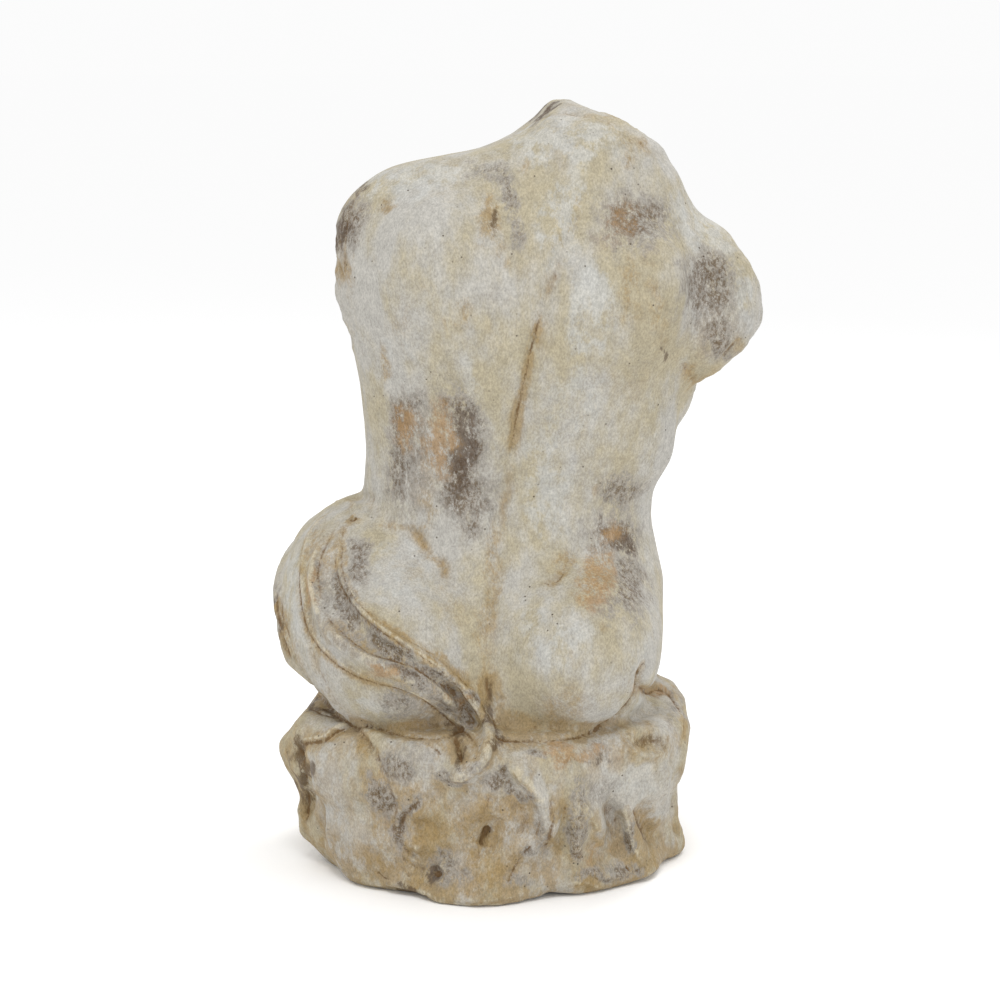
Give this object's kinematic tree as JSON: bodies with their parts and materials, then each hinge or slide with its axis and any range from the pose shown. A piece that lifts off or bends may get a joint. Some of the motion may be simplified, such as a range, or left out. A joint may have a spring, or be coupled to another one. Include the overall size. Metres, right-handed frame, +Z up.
{
  "type": "seated female torso sculpture",
  "caption": "Aged cast stone torso of a seated woman on a rough rock, head, arms and lower legs broken off, a cloth wrapped round one hip.",
  "frame": {"origin": "on the floor under the middle of the sculpture's overall box", "axes": "+Z up, +Y out of her back, +X to her left; she faces -Y"},
  "size_m": [0.346, 0.2608, 0.5405],
  "materials": {
    "aged_cast_stone": "matt, off white with ochre and grey-brown staining"
  },
  "bodies": {
    "root": {"seated_torso": "aged_cast_stone"}
  },
  "joints": []
}
